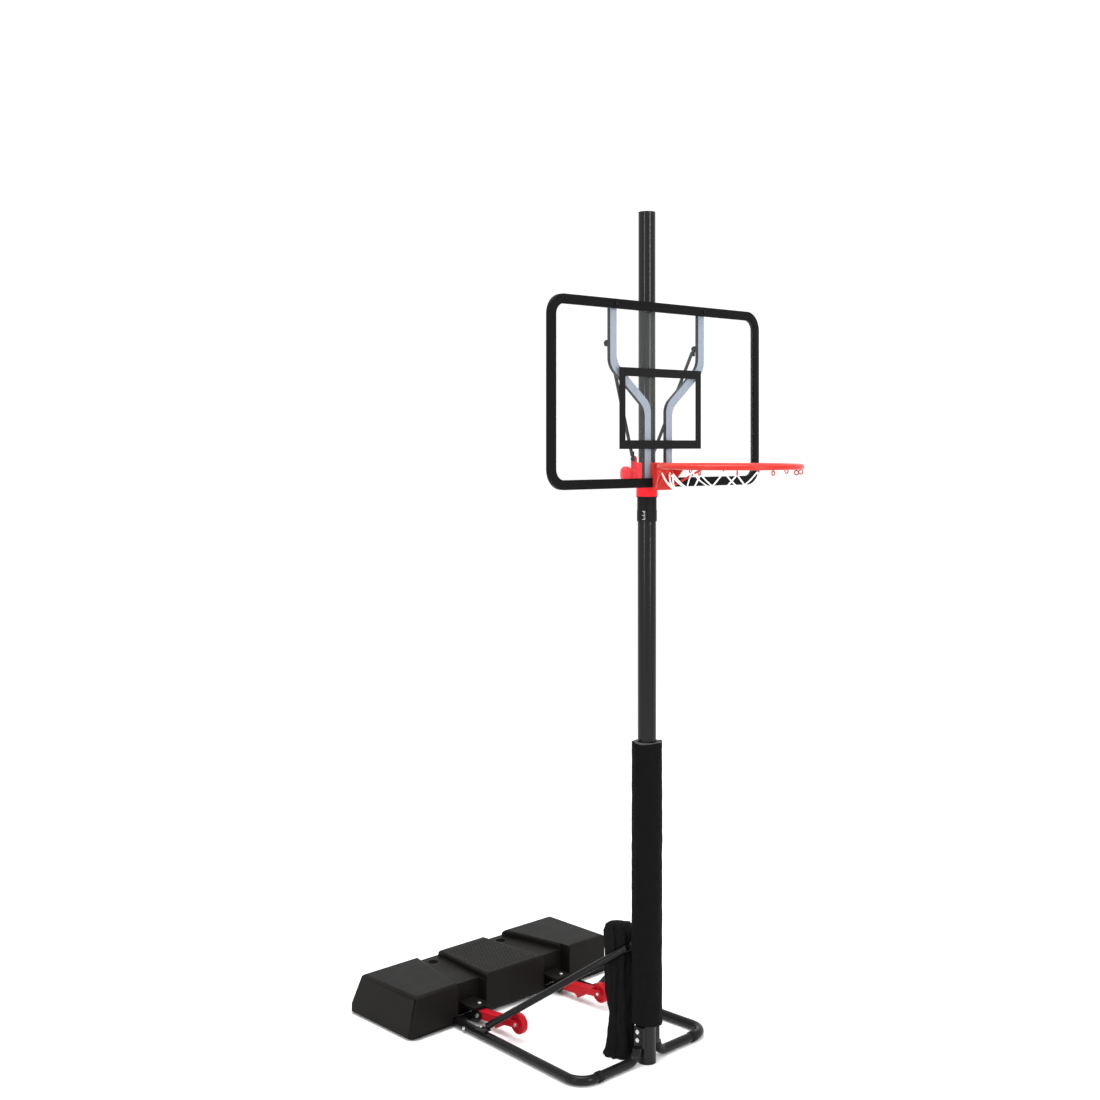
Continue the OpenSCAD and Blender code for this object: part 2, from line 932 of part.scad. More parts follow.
module axle_right() {
    axle();
}

module axle_left() {
    other_side()
        axle();
}

module wheel() {
    r = wheel_d / 2;
    w = wheel_w / 2;
    hub = arm_w / 2 - cheek_t - 0.5;
    bore = axle_r + 0.08;
    color("#d0202a")
        translate([wheel_x, wheel_y, wheel_z])
            rotate([0, 90, 0])
                rotate_extrude()
                    polygon([
                        [bore, -hub], [11, -hub], [11, -w + 5], [r - 10, -w + 5],
                        [r - 8, -w], [r - 3, -w], [r, -w + 3],
                        [r, w - 3], [r - 3, w], [r - 8, w],
                        [r - 10, w - 5], [11, w - 5], [11, hub], [bore, hub]
                    ]);
}

module wheel_right() {
    wheel();
}

module wheel_left() {
    other_side()
        wheel();
}

// two lug plates on the cross tube at each arm, with a strap across their tops
module arm_lugs() {
    inner = arm_w / 2 + arm_side_gap;
    outer = inner + lug_t;
    low_top = cross_top - bore_gap;
    strap_top = strap_z + strap_t;
    color("#1d1d1f")
        both_sides()
            difference() {
                union() {
                    for (x0 = [wheel_x - outer, wheel_x + inner])
                        side_plate(x0, x0 + lug_t)
                            polygon([
                                [arm_y - arm_eye_r - 2, arm_z - 12],
                                [arm_y - arm_eye_r - 2, arm_z + 10],
                                [arm_y - 10, arm_z + arm_eye_r],
                                [tank_bolt_y - strap_half, strap_top],
                                [tank_bolt_y + strap_half, strap_top],
                                [tank_front - 4, low_top],
                                [cross_y, low_top],
                                [cross_y, arm_lug_z],
                                [arm_y, arm_lug_z + 6]
                            ]);
                    translate([wheel_x - inner - past, tank_bolt_y - strap_half, strap_z])
                        cube([2 * inner + 2 * past, 2 * strap_half, strap_t]);
                }
                along_x(wheel_x - outer - past, wheel_x + outer + past, arm_y, arm_z,
                    bolt_r + bore_gap);
                along_x(wheel_x - outer - past, wheel_x + outer + past, cross_y, cross_z,
                    cross_r + bore_gap / 2);
                translate([tank_bolt_x, tank_bolt_y, strap_z - past])
                    cylinder(h = strap_t + 2 * past, r = small_bolt_r + bore_gap);
            }
}

module arm_pins() {
    outer = arm_w / 2 + arm_side_gap + lug_t;
    color("#c9ccd0")
        both_sides() {
            along_x(wheel_x - outer, wheel_x + outer, arm_y, arm_z, bolt_r);
            hex_x(wheel_x + outer, wheel_x + outer + head_h, arm_y, arm_z, bolt_r * head_ratio);
            hex_x(wheel_x - outer - head_h, wheel_x - outer, arm_y, arm_z, bolt_r * head_ratio);
        }
}

// ---- pad and bag ----

// the open back of the pad where the struts reach the pole
module pad_window() {
    translate([-pad_window_w / 2, lower_r / 2, pad_window_z[0]])
        cube([pad_window_w, pad_d, pad_window_z[1] - pad_window_z[0]]);
}

module pad_foam() {
    low = pad_bottom + 4;
    color("#2a2a2c")
        difference() {
            translate([0, 0, low])
                cylinder(h = pad_top - 4 - low, r = foam_r);
            translate([0, 0, low - past])
                cylinder(h = pad_top - low + 2 * past, r = lower_r + foam_gap);
            pad_window();
        }
}

module pad_cover() {
    color("#101011")
        difference() {
            translate([0, 0, pad_bottom])
                cylinder(h = pad_top - pad_bottom, r = pad_d / 2);
            translate([0, 0, pad_bottom - past])
                cylinder(h = pad_top - pad_bottom + 2 * past, r = pad_d / 2 - cover_t);
            pad_window();
        }
}

module hanging_bag() {
    h = bag_h;
    r = bag_r;
    lean = bag_high - bag_low;
    color("#0c0c0d")
        difference() {
            translate([bag_low[0], bag_low[1], 0])
                rotate([-atan(lean[1] / h), atan(lean[0] / h), 0])
                    rotate_extrude()
                        polygon([
                            [0, -r / 4], [r, -r / 4], [r, 0.05 * h], [0.92 * r, 0.2 * h],
                            [0.8 * r, 0.33 * h], [0.95 * r, 0.5 * h], [r, 0.68 * h],
                            [r, 0.86 * h], [0.8 * r, 0.95 * h], [0.4 * r, h], [0, h]
                        ]);
            translate([bag_low[0] - 2 * r, bag_low[1] - 2 * r, -r])
                cube([4 * r, 4 * r, r + past]);
            mirror([1, 0, 0])
                bar(strut_top - (strut_end - strut_top) / 20, strut_end, strut_r + strut_slit);
        }
}

// ---- carriage ----

module housing() {
    low_boss = edge_back;
    high_boss = sheet_y + sheet_t + seat_gap;
    inner_z = board_z + edge_w + seat_gap;
    flange_half = support_low_x + support_w / 2;
    color("#d3202b")
        difference() {
            union() {
                translate([0, 0, seat_z + cap_t])
                    cylinder(h = housing_top - seat_z - cap_t, r = collar_r);
                translate([-housing_half, support_back, housing_z])
                    cube([2 * housing_half, housing_rear - support_back, housing_h]);
                translate([-boss_half, low_boss, housing_z])
                    cube([2 * boss_half, support_back - low_boss, housing_h]);
                translate([-boss_half, high_boss, inner_z])
                    cube([2 * boss_half, support_back - high_boss, housing_top - inner_z]);
                translate([-flange_half, support_back, housing_z])
                    cube([2 * flange_half, flange_t, housing_h]);
                both_sides() {
                    along_x(housing_half - ear_t, housing_half, ear_y - ear_r + 4, ear_z, ear_r);
                    translate([housing_half - ear_t, ear_y - 2 * ear_r + 4, housing_top - past])
                        cube([ear_t, 2 * ear_r, ear_z - housing_top + past]);
                }
                translate([0, 0, lock_z])
                    rotate([0, 0, lock_angle])
                        along_x(upper_r + 4, lock_boss_end, 0, 0, lock_boss_r);
            }
            translate([0, 0, seat_z - past])
                cylinder(h = ear_z - seat_z + 2 * ear_r, r = upper_r + slide_gap);
            for (x = [-rim_bolt_x, rim_bolt_x], z = rim_bolt_zs)
                along_y(face, rim_bolt_end + 2, x, z, small_bolt_r + bore_gap);
            for (x = [-support_low_x, support_low_x], z = support_bolt_zs)
                along_y(edge_back, support_back + flange_t + past, x, z, small_bolt_r + bore_gap);
            both_sides()
                along_x(housing_half - 2 * ear_t, housing_half + past, ear_y - ear_r + 4, ear_z,
                    pin_bolt_r + bore_gap);
            translate([0, 0, lock_z])
                rotate([0, 0, lock_angle])
                    along_x(0, lock_boss_end + past, 0, 0, pin_r + bore_gap);
        }
}

// soft ring under the collar that meets the sleeve
module collar_ring() {
    color("#111112")
        difference() {
            translate([0, 0, seat_z])
                cylinder(h = cap_t, r = collar_r);
            translate([0, 0, seat_z - past])
                cylinder(h = cap_t + 2 * past, r = upper_r + slide_gap);
        }
}

// a rectangle with rounded corners, standing on z0
module round_rect(w, h, z0, r) {
    translate([-w / 2 + r, z0])
        square([w - 2 * r, h]);
    translate([-w / 2, z0 + r])
        square([w, h - 2 * r]);
    for (x = [-w / 2 + r, w / 2 - r], z = [z0 + r, z0 + h - r])
        translate([x, z])
            circle(r = r);
}

module board_sheet() {
    inset = edge_wall + slot_gap;
    color("#dfe6ea", 0.35)
        difference() {
            front_plate(sheet_y, sheet_y + sheet_t)
                round_rect(board_w - 2 * inset, board_h - 2 * inset, board_z + inset,
                    board_corner - inset);
            for (x = [-rim_bolt_x, rim_bolt_x], z = rim_bolt_zs)
                along_y(face, edge_back, x, z, small_bolt_r + bore_gap);
            both_sides()
                along_y(face, edge_back, support_high_x, top_bolt_z, small_bolt_r + bore_gap);
        }
}

module board_edge() {
    color("#131314")
        difference() {
            front_plate(face, edge_back)
                round_rect(board_w, board_h, board_z, board_corner);
            front_plate(face - past, edge_back + past)
                round_rect(board_w - 2 * edge_w, board_h - 2 * edge_w, board_z + edge_w,
                    board_corner - edge_w);
            front_plate(sheet_y - slot_gap, sheet_y + sheet_t + slot_gap)
                round_rect(board_w - 2 * edge_wall, board_h - 2 * edge_wall, board_z + edge_wall,
                    board_corner - edge_wall);
            for (x = [-rim_bolt_x, rim_bolt_x])
                along_y(face - past, edge_back + past, x, rim_bolt_zs[0], small_bolt_r + bore_gap);
            both_sides()
                along_y(face - past, edge_back + past, support_high_x, top_bolt_z,
                    small_bolt_r + bore_gap);
        }
}

// the printed target, as a thin film on the sheet
module target_square() {
    film = 0.4;
    z0 = board_z + target_z;
    color("#131314")
        difference() {
            front_plate(sheet_y - film, sheet_y)
                translate([-target_w / 2, z0])
                    square([target_w, target_h]);
            front_plate(sheet_y - film - past, sheet_y + past)
                translate([-target_w / 2 + target_line, z0 + target_line])
                    square([target_w - 2 * target_line, target_h - 2 * target_line]);
        }
}

// unit normal to the right of a direction in the front view, and the mitre of two of them
function right_of(a, b) = [b[1] - a[1], a[0] - b[0]] / norm(b - a);
function mitre(m, n) = (m + n) / (1 + m * n);

module support_outline() {
    p = [
        [support_low_x, support_low_z],
        [support_low_x, seat_z + bend_low],
        [support_high_x, seat_z + bend_high],
        [support_high_x, support_high_z]
    ];
    n = [for (i = [0 : 2]) right_of(p[i], p[i + 1])];
    m = [n[0], mitre(n[0], n[1]), mitre(n[1], n[2]), n[2]];
    polygon([
        for (i = [0 : 3]) p[i] + m[i] * support_w / 2,
        for (i = [3 : -1 : 0]) p[i] - m[i] * support_w / 2
    ]);
}

module support() {
    lug_x0 = support_high_x - brace_lug_half;
    color("#9fb0bf")
        difference() {
            union() {
                front_plate(edge_back, support_back)
                    support_outline();
                along_x(lug_x0, lug_x0 + 2 * brace_lug_half, brace_y, brace_z, lug_r);
                translate([lug_x0, support_back - past, brace_z - lug_r])
                    cube([2 * brace_lug_half, brace_y - support_back + past, 2 * lug_r]);
            }
            for (z = support_bolt_zs)
                along_y(edge_back + 7, support_back + past, support_low_x, z,
                    small_bolt_r + bore_gap);
            along_y(edge_back - past, edge_back + 12, support_high_x, top_bolt_z,
                small_bolt_r + bore_gap);
            along_x(lug_x0 - past, support_high_x + 2 * brace_lug_half, brace_y, brace_z,
                pin_bolt_r + bore_gap);
        }
}

module support_right() {
    support();
}

module support_left() {
    other_side()
        support();
}

module support_bolts() {
    back = support_back + flange_t;
    color("#c9ccd0")
        both_sides()
            for (z = support_bolt_zs) {
                along_y(edge_back + 8, back, support_low_x, z, small_bolt_r);
                hex_y(back, back + head_h, support_low_x, z, small_bolt_r * head_ratio);
            }
}

module board_top_bolts() {
    color("#1a1a1b")
        both_sides() {
            along_y(face, edge_back + 11, support_high_x, top_bolt_z, small_bolt_r);
            along_y(face - 3, face, support_high_x, top_bolt_z, small_bolt_r * head_ratio);
        }
}

module brace() {
    low_y = ear_y - ear_r + 4;
    flat_h = 26;
    low = [brace_low[0], low_y, ear_z];
    d = (low - brace_high) / norm(low - brace_high);
    color("#19191a")
        difference() {
            union() {
                bar(brace_high + d * brace_inset, low - d * brace_inset, brace_d / 2);
                along_x(brace_high[0] - brace_flat_t / 2, brace_high[0] + brace_flat_t / 2,
                    brace_y, brace_z, brace_d / 2 + 3);
                along_x(low[0] - brace_flat_t / 2, low[0] + brace_flat_t / 2,
                    low_y, ear_z, brace_d / 2 + 3);
                translate([brace_high[0] - brace_flat_t / 2, brace_y - 6, brace_z - flat_h])
                    cube([brace_flat_t, brace_d, flat_h]);
                translate([low[0] - brace_flat_t / 2, low_y - 6, ear_z])
                    cube([brace_flat_t, brace_d, flat_h]);
            }
            along_x(brace_high[0] - lug_r, brace_high[0] + lug_r, brace_y, brace_z,
                pin_bolt_r + bore_gap);
            along_x(low[0] - lug_r, low[0] + lug_r, low_y, ear_z, pin_bolt_r + bore_gap);
        }
}

module brace_right() {
    brace();
}

module brace_left() {
    other_side()
        brace();
}

module brace_pins() {
    low_y = ear_y - ear_r + 4;
    high_in = support_high_x - brace_lug_half - brace_flat_t;
    high_out = support_high_x + brace_lug_half;
    low_in = housing_half - ear_t;
    low_out = housing_half + brace_flat_t;
    head = pin_bolt_r * head_ratio;
    color("#c9ccd0")
        both_sides() {
            along_x(high_in, high_out, brace_y, brace_z, pin_bolt_r);
            hex_x(high_out, high_out + 4, brace_y, brace_z, head);
            along_x(low_in - 3, low_out, low_y, ear_z, pin_bolt_r);
            hex_x(low_out, low_out + 3, low_y, ear_z, head);
        }
}

// ---- lock ----

module lock_knob() {
    start = lock_boss_end + seat_gap;
    color("#d3202b")
        translate([0, 0, lock_z])
            rotate([0, 0, lock_angle])
                rotate([0, 90, 0])
                    difference() {
                        rotate_extrude()
                            polygon([
                                [0, start], [knob_r - 9, start], [knob_r - 3, start + 6],
                                [knob_r, start + 12], [knob_r, start + knob_len - 12],
                                [knob_r - 4, start + knob_len - 4],
                                [knob_r - 12, start + knob_len], [0, start + knob_len]
                            ]);
                        translate([0, 0, start - past])
                            cylinder(h = knob_len / 2 + past, r = pin_r + bore_gap / 2);
                    }
}

module lock_pin() {
    color("#c9ccd0")
        translate([0, 0, lock_z])
            rotate([0, 0, lock_angle])
                along_x(pin_tip, lock_boss_end + knob_len / 2 - past, 0, 0, pin_r);
}

// ---- rim ----

module rim_torus(r) {
    translate([0, rim_y, rim_h])
        rotate_extrude()
            translate([rim_r, 0])
                circle(r = r);
}

module rim_ring() {
    color("#e2401c")
        rim_torus(rod_r);
}

module rim_bracket() {
    top = rim_h + rod_r;
    color("#e2401c")
        difference() {
            union() {
                translate([-bracket_half, bracket_face, bracket_low])
                    cube([2 * bracket_half, bracket_t, top - bracket_low]);
                translate([-bracket_half, shelf_y, top - bracket_t])
                    cube([2 * bracket_half, face - shelf_y, bracket_t]);
                both_sides()
                    side_plate(gusset_x - gusset_t / 2, gusset_x + gusset_t / 2)
                        polygon([
                            [bracket_face + past, bracket_low + 4],
                            [bracket_face + past, top - past],
                            [shelf_y, top - past],
                            [shelf_y, top - rim_rod_d]
                        ]);
            }
            rim_torus(rod_r + bore_gap / 2);
            for (x = [-rim_bolt_x, rim_bolt_x], z = rim_bolt_zs)
                along_y(bracket_face - past, face + past, x, z, small_bolt_r + bore_gap);
            both_sides()
                bar([bracket_half - 5, bracket_face - rim_brace_r, bracket_low + 12],
                    [rim_brace_x, rim_brace_y, rim_h], rim_brace_r + bore_gap / 2);
        }
}

module rim_bolts() {
    color("#c9ccd0")
        for (x = [-rim_bolt_x, rim_bolt_x], z = rim_bolt_zs) {
            along_y(bracket_face, rim_bolt_end, x, z, small_bolt_r);
            hex_y(bracket_face - head_h, bracket_face, x, z, small_bolt_r * 1.5);
        }
}

// two rods from the bracket's foot to the sides of the rim
module rim_braces() {
    color("#e2401c")
        both_sides()
            difference() {
                bar([bracket_half - 5, bracket_face - rim_brace_r, bracket_low + 12],
                    [rim_brace_x, rim_brace_y, rim_h], rim_brace_r);
                rim_torus(rod_r + bore_gap / 2);
            }
}

module net_hooks() {
    color("#e2401c")
        for (i = [0 : hook_count - 1])
            translate([0, rim_y, hook_z])
                rotate([0, 0, (i + 0.5) * 360 / hook_count])
                    translate([rim_r, 0, 0])
                        rotate([90, 0, 0])
                            rotate_extrude()
                                translate([hook_eye, 0])
                                    circle(r = wire_r);
}

// the net, as a closed skin of the net's size
module net() {
    z = net_top;
    l = net_len;
    a = net_top_r;
    b = net_low_r;
    fall = [[0, 0], [0.25, 0.32], [0.5, 0.62], [0.75, 0.88], [1, 1]];
    color("#f4f4f2")
        translate([0, rim_y, 0])
            rotate_extrude()
                polygon([
                    for (i = [0 : 4]) [a + (b - a) * fall[i][1], z - l * fall[i][0]],
                    for (i = [4 : -1 : 0])
                        [a + (b - a) * fall[i][1] - net_wall, z - l * fall[i][0]]
                ]);
}

tank();
tank_bolts();
frame_front_left();
frame_front_right();
frame_side_left();
frame_side_right();
frame_rings();
frame_end_caps();
cross_tube();
frame_side_bolts();
lower_pole();
upper_pole();
pole_sleeve();
pole_top_cap();
pole_foot_cap();
foot_bolts();
foot_nuts();
strut_bracket();
strut_left();
strut_right();
strut_pin();
strut_foot_bolts();
arm_lugs();
arm_pins();
pad_foam();
pad_cover();
hanging_bag();
housing();
collar_ring();
board_sheet();
board_edge();
target_square();
support_left();
support_right();
support_bolts();
board_top_bolts();
brace_left();
brace_right();
brace_pins();
rim_bracket();
rim_bolts();
rim_ring();
rim_braces();
net_hooks();
net();
lock_knob();
lock_pin();
arm_left();
arm_right();
axle_left();
axle_right();
wheel_left();
wheel_right();
filler_cap_left();
filler_cap_right();
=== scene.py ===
import math

import bmesh
import bpy
from mathutils import Matrix, Vector, noise


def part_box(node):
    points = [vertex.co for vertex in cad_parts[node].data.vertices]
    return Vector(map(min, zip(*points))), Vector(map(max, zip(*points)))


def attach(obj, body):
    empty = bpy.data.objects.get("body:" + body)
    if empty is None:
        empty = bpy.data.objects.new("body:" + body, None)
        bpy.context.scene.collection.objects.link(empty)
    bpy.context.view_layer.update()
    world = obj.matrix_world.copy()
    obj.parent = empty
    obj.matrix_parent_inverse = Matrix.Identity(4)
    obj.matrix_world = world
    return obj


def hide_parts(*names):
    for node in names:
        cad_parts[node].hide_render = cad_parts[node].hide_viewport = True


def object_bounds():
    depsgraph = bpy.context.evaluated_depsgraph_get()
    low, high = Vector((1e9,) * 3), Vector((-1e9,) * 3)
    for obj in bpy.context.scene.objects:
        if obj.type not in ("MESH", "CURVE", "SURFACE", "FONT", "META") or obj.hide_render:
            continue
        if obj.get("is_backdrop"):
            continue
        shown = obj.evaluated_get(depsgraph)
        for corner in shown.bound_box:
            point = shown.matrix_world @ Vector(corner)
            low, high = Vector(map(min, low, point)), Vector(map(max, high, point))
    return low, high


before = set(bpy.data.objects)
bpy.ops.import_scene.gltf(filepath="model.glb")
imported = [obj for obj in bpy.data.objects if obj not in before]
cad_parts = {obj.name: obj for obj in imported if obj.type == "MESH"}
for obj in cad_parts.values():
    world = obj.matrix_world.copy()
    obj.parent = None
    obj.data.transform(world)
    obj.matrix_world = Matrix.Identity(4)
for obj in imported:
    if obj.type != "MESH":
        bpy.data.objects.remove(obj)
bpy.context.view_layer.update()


# ---------------------------------------------------------------------------
# Tank: black blow-moulded polyethylene with a fine grain and rounded edges,
# filled with water through two holes that plain caps close. The middle block's
# top has a raised diamond tread.
# ---------------------------------------------------------------------------


class Wire:
    """A socket inside a shader, so that maths on it reads as plain maths."""

    def __init__(self, socket):
        self.socket = socket

    def joined(self, operation, *others):
        """A Math node on this value and the others."""
        node = self.socket.id_data.nodes.new("ShaderNodeMath")
        node.operation = operation
        for value, target in zip((self, *others), node.inputs):
            feed(value, target)
        return Wire(node.outputs[0])

    def __add__(self, other):
        return self.joined("ADD", other)

    def __mul__(self, other):
        return self.joined("MULTIPLY", other)

    def __lt__(self, other):
        return self.joined("LESS_THAN", other)

    def __gt__(self, other):
        return self.joined("GREATER_THAN", other)

    __radd__ = __add__
    __rmul__ = __mul__

    def wave(self):
        return self.joined("SINE")


def feed(value, target):
    """Links a wire to a socket, or sets the socket's own value."""
    if isinstance(value, Wire):
        target.id_data.links.new(value.socket, target)
    else:
        target.default_value = value


class Finish:
    """One material: its surface shader and the wires that vary it."""

    def __init__(self, name, colour, roughness, metallic=0.0, coat=0.0, shine=0.5):
        self.material = bpy.data.materials.new(name)
        self.material.use_nodes = True
        self.colour = (*colour, 1.0)
        self.shader = self.material.node_tree.nodes["Principled BSDF"]
        self.set("Base Color", self.colour)
        self.set("Roughness", roughness)
        self.set("Metallic", metallic)
        self.set("Coat Weight", coat)
        self.set("Coat Roughness", 0.12)
        self.set("Specular IOR Level", shine)
        self.place = self.node("ShaderNodeTexCoord", output="Object")

    def set(self, socket, value):
        feed(value, self.shader.inputs[socket])
        return self

    def node(self, kind, settings=None, inputs=None, output=0):
        """Any node, with its settings made first and its sockets set or linked."""
        node = self.material.node_tree.nodes.new(kind)
        for key, value in (settings or {}).items():
            setattr(node, key, value)
        for key, value in (inputs or {}).items():
            feed(value, node.inputs[key])
        return Wire(node.outputs[output])

    def axis(self, which):
        return self.node("ShaderNodeSeparateXYZ", inputs={0: self.place}, output=which)

    def cloud(self, scale, detail=3.0, stretch=(1.0, 1.0, 1.0)):
        """Soft noise over the piece, between 0 and 1."""
        place = self.node("ShaderNodeMapping", inputs={"Vector": self.place, "Scale": stretch})
        sockets = {"Vector": place, "Scale": scale, "Detail": detail}
        return self.node("ShaderNodeTexNoise", inputs=sockets)

    def tint(self, factor, other):
        """Turns the colour to another one where the factor is 1."""
        sockets = {"Factor": factor, "A": self.colour, "B": (*other, 1.0)}
        mixed = self.node("ShaderNodeMix", {"data_type": "RGBA"}, sockets, "Result")
        return self.set("Base Color", mixed)

    def gloss(self, low, high, scale):
        """Roughness that wanders between two values."""
        return self.set("Roughness", low + (high - low) * self.cloud(scale))

    def relief(self, height, distance, strength=1.0):
        sockets = {"Height": height, "Distance": distance, "Strength": strength}
        return self.set("Normal", self.node("ShaderNodeBump", inputs=sockets))

    def cover(self, thing):
        thing.data.materials.clear()
        thing.data.materials.append(self.material)
        return thing


def piece(name, shape, finish, body, smooth_below=40.0, flat_above=1.0):
    """A finished mesh on a body, smooth except over sharp edges and on faces above an area."""
    for face in shape.faces:
        face.smooth = face.calc_area() < flat_above
    for edge in shape.edges:
        edge.smooth = len(edge.link_faces) == 2 and edge.calc_face_angle() < math.radians(smooth_below)
    mesh = bpy.data.meshes.new(name)
    shape.to_mesh(mesh)
    shape.free()
    thing = bpy.data.objects.new(name, mesh)
    bpy.context.scene.collection.objects.link(thing)
    finish.cover(thing)
    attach(thing, body)
    return thing


def round_off(shape, edges, offset, segments, clamp=False):
    """Rounds those edges, by less where they are crowded if it is clamped."""
    bmesh.ops.bevel(
        shape,
        geom=edges,
        offset=offset,
        segments=segments,
        profile=0.5,
        affect="EDGES",
        material=-1,
        clamp_overlap=clamp,
    )


def refined(
    node, finish, body, bevel=0.0, segments=2, smooth_below=40.0, before=None, flat_above=1.0
):
    """The CAD node's shape with whole faces and rounded edges, in place of the node."""
    weld = 0.00002
    same_face, corner = math.radians(0.6), math.radians(34.0)
    shape = bmesh.new()
    shape.from_mesh(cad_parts[node].data)
    bmesh.ops.remove_doubles(shape, verts=shape.verts, dist=weld)
    bmesh.ops.dissolve_limit(shape, angle_limit=same_face, verts=shape.verts, edges=shape.edges)
    if before:
        before(shape)
    if bevel:
        edges = [e for e in shape.edges if e.is_manifold and e.calc_face_angle() > corner]
        round_off(shape, edges, bevel, segments, clamp=True)
    thing = piece(node + "_body", shape, finish, body, smooth_below, flat_above)
    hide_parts(node)
    return thing


tank_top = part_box("tank")[1][2]
channel_round, foot_round, edge_round = 0.011, 0.018, 0.004
channel_edge, body_edge = 0.07, 0.05
square_turn, foot_turn, body_turn = 1.2, 0.6, 0.5
level_slack = 0.001


def rounded_tank(shape):
    """Rounds the blocks' edges along the channels, then the foot, then every other long edge."""

    def outward(length, turn):
        """The outward edges longer than that which turn by more than that, in radians."""
        sound = [e for e in shape.edges if e.is_manifold and e.is_convex]
        return [e for e in sound if e.calc_length() > length and e.calc_face_angle() > turn]

    square = outward(channel_edge, square_turn)
    near_top = tank_top - level_slack
    round_off(shape, [e for e in square if min(v.co.z for v in e.verts) > near_top], channel_round, 4)
    near_floor = 2 * level_slack
    foot = [e for e in shape.edges if e.is_manifold and max(v.co.z for v in e.verts) < near_floor]
    round_off(shape, [e for e in foot if e.calc_face_angle() > foot_turn], foot_round, 3)
    round_off(shape, outward(body_edge, body_turn), edge_round, 3)


tank_skin = Finish("tank_skin", (0.0054, 0.0047, 0.0042), 0.5, shine=0.08)
tank_skin.relief(tank_skin.cloud(420.0, 2.0), 0.0005, 0.6)
tank_skin.gloss(0.42, 0.56, 9.0)
refined("tank", tank_skin, "base", smooth_below=50.0, before=rounded_tank, flat_above=0.004)

# The middle block's tread: low lozenges in a lattice, clear of the block's edges.
stud_long, stud_wide, stud_height = 0.0277, 0.016, 0.0011
stud_foot, stud_crown, stud_sunk = 0.43, 0.27, 0.0002
tread_front, tread_rear = 0.715, 0.985
half_front, half_rear = 0.128, 0.1
shape = bmesh.new()
rows = int((tread_rear - tread_front) / (stud_long / 2))
for row in range(rows + 1):
    y = tread_front + row * stud_long / 2
    half = half_front + (half_rear - half_front) * row / rows
    columns = int(half / stud_wide)
    for column in range(-columns, columns + row % 2):
        x = (column + (0.5 if row % 2 else 0.0)) * stud_wide
        spot = Vector((x, y, tank_top + stud_height / 2 - stud_sunk))
        size = Matrix.Diagonal((stud_wide, stud_long, stud_height, 1.0))
        bmesh.ops.create_cone(
            shape,
            cap_ends=True,
            segments=4,
            radius1=stud_foot,
            radius2=stud_crown,
            depth=1.0,
            matrix=Matrix.Translation(spot) @ size,
        )
piece("tank_tread", shape, tank_skin, "base", smooth_below=10.0)

cap_plastic = Finish("cap_plastic", (0.0022, 0.0022, 0.0023), 0.6, shine=0.03)
cap_plastic.gloss(0.55, 0.68, 60.0)
for side in ("left", "right"):
    refined(f"filler_cap_{side}", cap_plastic, f"filler_cap_{side}", bevel=0.0008)

# ---------------------------------------------------------------------------
# Base frame and struts: round steel tube with satin black powder coat, which
# has a faint orange peel. It stands on black rubber rings, its ends have plastic
# caps, and the collar ring under the carriage is of the same rubber.
# ---------------------------------------------------------------------------

black_paint = Finish("black_paint", (0.005, 0.005, 0.0052), 0.3, shine=0.16)
black_paint.relief(black_paint.cloud(260.0, 2.0), 0.0001, 0.35)
black_paint.gloss(0.2, 0.32, 14.0)
for node, bevel in (
    ("frame_front_left", 0.0016),
    ("frame_front_right", 0.0016),
    ("frame_side_left", 0.0),
    ("frame_side_right", 0.0),
    ("cross_tube", 0.0),
    ("strut_left", 0.0014),
    ("strut_right", 0.0014),
    ("strut_bracket", 0.002),
    ("strut_pin", 0.0006),
    ("arm_lugs", 0.0012),
):
    refined(node, black_paint, "base", bevel=bevel)

rubber = Finish("rubber", (0.005, 0.005, 0.005), 0.72, shine=0.15)
rubber.relief(rubber.cloud(500.0), 0.0002, 0.6)
black_plastic = Finish("black_plastic", (0.005, 0.005, 0.0052), 0.5, shine=0.12)
black_plastic.relief(black_plastic.cloud(700.0), 0.0002, 0.5)
refined("frame_rings", rubber, "base", bevel=0.0012)
refined("frame_end_caps", black_plastic, "base", bevel=0.0008)
refined("collar_ring", rubber, "carriage", bevel=0.0006)

# ---------------------------------------------------------------------------
# Bolts, nuts and axles: turned steel with bright zinc plate, whose polish is
# fine and uneven.
# ---------------------------------------------------------------------------

zinc = Finish("zinc", (0.62, 0.63, 0.64), 0.28, metallic=1.0)
zinc.gloss(0.2, 0.42, 220.0)
for node, body in (
    ("tank_bolts", "base"),
    ("frame_side_bolts", "base"),
    ("foot_bolts", "base"),
    ("foot_nuts", "base"),
    ("strut_foot_bolts", "base"),
    ("arm_pins", "base"),
    ("rim_bolts", "carriage"),
    ("lock_pin", "lock"),
    ("axle_left", "arm_left"),
    ("axle_right", "arm_right"),
):
    refined(node, zinc, body, bevel=0.0006)

# ---------------------------------------------------------------------------
# Pole: two steel tubes with semi-gloss black coat, plastic end caps and the
# plastic sleeve between them. The sleeve carries a plain scale of white ticks.
# ---------------------------------------------------------------------------

pole_paint = Finish("pole_paint", (0.0055, 0.0055, 0.0058), 0.18, coat=0.35, shine=0.05)
pole_paint.set("Coat Roughness", 0.19)
pole_paint.gloss(0.16, 0.24, 11.0)
refined("lower_pole", pole_paint, "base")
refined("upper_pole", pole_paint, "base")
refined("pole_top_cap", black_plastic, "base", bevel=0.001)
refined("pole_foot_cap", black_plastic, "base", bevel=0.0008)
refined("pole_sleeve", black_plastic, "base", bevel=0.0007)

white_print = Finish("white_print", (0.8, 0.8, 0.78), 0.5)
white_print.tint(white_print.cloud(300.0), (0.6, 0.6, 0.6))


